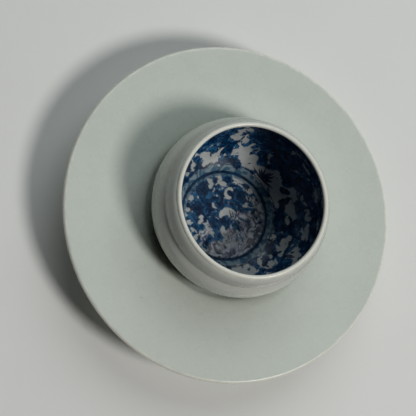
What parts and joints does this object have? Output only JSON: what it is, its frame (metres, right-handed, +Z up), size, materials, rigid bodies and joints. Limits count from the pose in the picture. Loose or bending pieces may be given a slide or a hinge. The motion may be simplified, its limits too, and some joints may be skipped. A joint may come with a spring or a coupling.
{
  "type": "tea cup on brimmed stand",
  "caption": "Squat porcelain tea cup with a drawn-in mouth and painted inside, standing in the well of a wide-brimmed round stand; the cup lifts out.",
  "frame": {"origin": "on the shared axis, in the plane the stand's foot ring rests on", "axes": "+Z up along the axis of the stand and the cup; the piece is round, so X and Y are any pair of level directions"},
  "size_m": [0.1804, 0.1804, 0.0636],
  "materials": {
    "stand_glaze": "glossy pale green-white glaze",
    "cup_glaze": "glossy pale green-white glaze, cobalt painting inside"
  },
  "bodies": {
    "stand": {"saucer_stand": "stand_glaze"},
    "cup": {"cup": "cup_glaze"}
  },
  "joints": [
    {"name": "cup_lift", "type": "slide", "parent": "stand", "child": "cup", "axis": [0, 0, 1], "range_m": [0, 0.05]}
  ]
}
